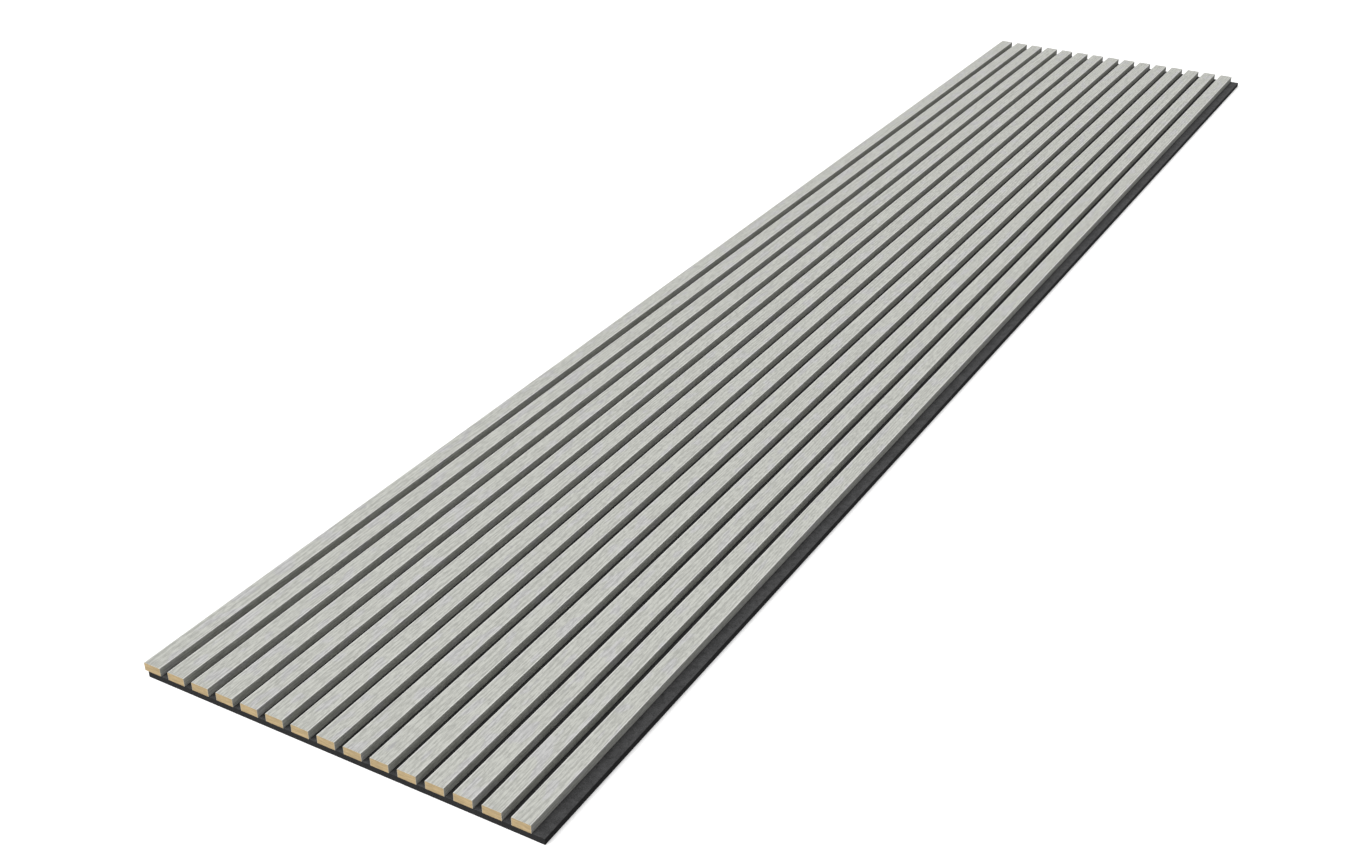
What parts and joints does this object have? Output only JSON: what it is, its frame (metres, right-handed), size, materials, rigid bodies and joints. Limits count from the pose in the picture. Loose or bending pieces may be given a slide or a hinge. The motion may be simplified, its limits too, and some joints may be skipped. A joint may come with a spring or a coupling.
{
  "type": "acoustic panel",
  "caption": "Slatted acoustic wall panel: foil-wrapped fibreboard slats stapled to a felt board, with an overlapping edge for joining panels side by side.",
  "frame": {"origin": "middle of the panel's footprint, on its back face", "axes": "+X across the slats towards the side with the felt lip, +Y along the slats, +Z out of the panel's face, away from the wall"},
  "size_m": [0.605, 3, 0.021],
  "materials": {
    "felt": "needled polyester felt board, charcoal, matt, faintly mottled with paler fibres",
    "fibreboard": "raw sawn medium-density fibreboard, tan",
    "foil": "printed decor foil, pale grey oak grain running along the slat, silk matt",
    "staple_wire": "flat galvanised steel wire"
  },
  "bodies": {
    "root": {"felt_backing": "felt", "slat_core_01": "fibreboard", "slat_core_02": "fibreboard", "slat_core_03": "fibreboard", "slat_core_04": "fibreboard", "slat_core_05": "fibreboard", "slat_core_06": "fibreboard", "slat_core_07": "fibreboard", "slat_core_08": "fibreboard", "slat_core_09": "fibreboard", "slat_core_10": "fibreboard", "slat_core_11": "fibreboard", "slat_core_12": "fibreboard", "slat_core_13": "fibreboard", "slat_core_14": "fibreboard", "slat_core_15": "fibreboard", "slat_foil_01": "foil", "slat_foil_02": "foil", "slat_foil_03": "foil", "slat_foil_04": "foil", "slat_foil_05": "foil", "slat_foil_06": "foil", "slat_foil_07": "foil", "slat_foil_08": "foil", "slat_foil_09": "foil", "slat_foil_10": "foil", "slat_foil_11": "foil", "slat_foil_12": "foil", "slat_foil_13": "foil", "slat_foil_14": "foil", "slat_foil_15": "foil", "staples": "staple_wire"}
  },
  "joints": []
}
